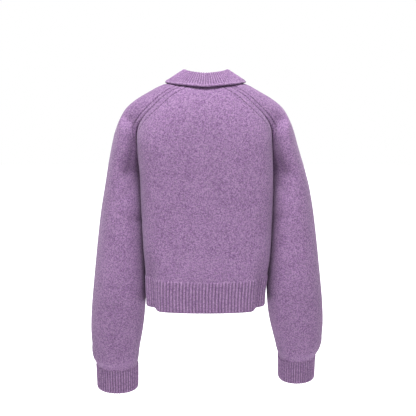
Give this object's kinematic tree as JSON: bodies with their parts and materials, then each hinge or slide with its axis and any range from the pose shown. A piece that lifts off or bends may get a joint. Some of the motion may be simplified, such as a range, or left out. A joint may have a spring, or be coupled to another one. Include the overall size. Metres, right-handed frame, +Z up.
{
  "type": "cardigan",
  "caption": "Cropped wool cardigan with raglan sleeves, a folded rib collar, rib cuffs and hem and a buttoned front, held in its worn, hollow shape.",
  "frame": {"origin": "middle of the wearer's neck at shoulder height, where the shoulders hold the cardigan up", "axes": "+Z up, -Y to the wearer's front, +X to the wearer's left"},
  "size_m": [0.516, 0.2362, 0.7264],
  "materials": {
    "wool_body": "felted, heathered lilac wool knit",
    "wool_rib": "the same wool in rib",
    "button": "soft shine, like colour"
  },
  "bodies": {
    "root": {"back": "wool_body", "front_left": "wool_body", "front_right": "wool_body", "sleeve_left": "wool_body", "sleeve_right": "wool_body", "band_over": "wool_body", "band_under": "wool_body", "hem_back": "wool_rib", "hem_front_left": "wool_rib", "hem_front_right": "wool_rib", "cuff_left": "wool_rib", "cuff_right": "wool_rib", "collar": "wool_rib", "button_1": "button", "button_2": "button", "button_3": "button", "button_4": "button", "button_5": "button", "button_6": "button"}
  },
  "joints": []
}
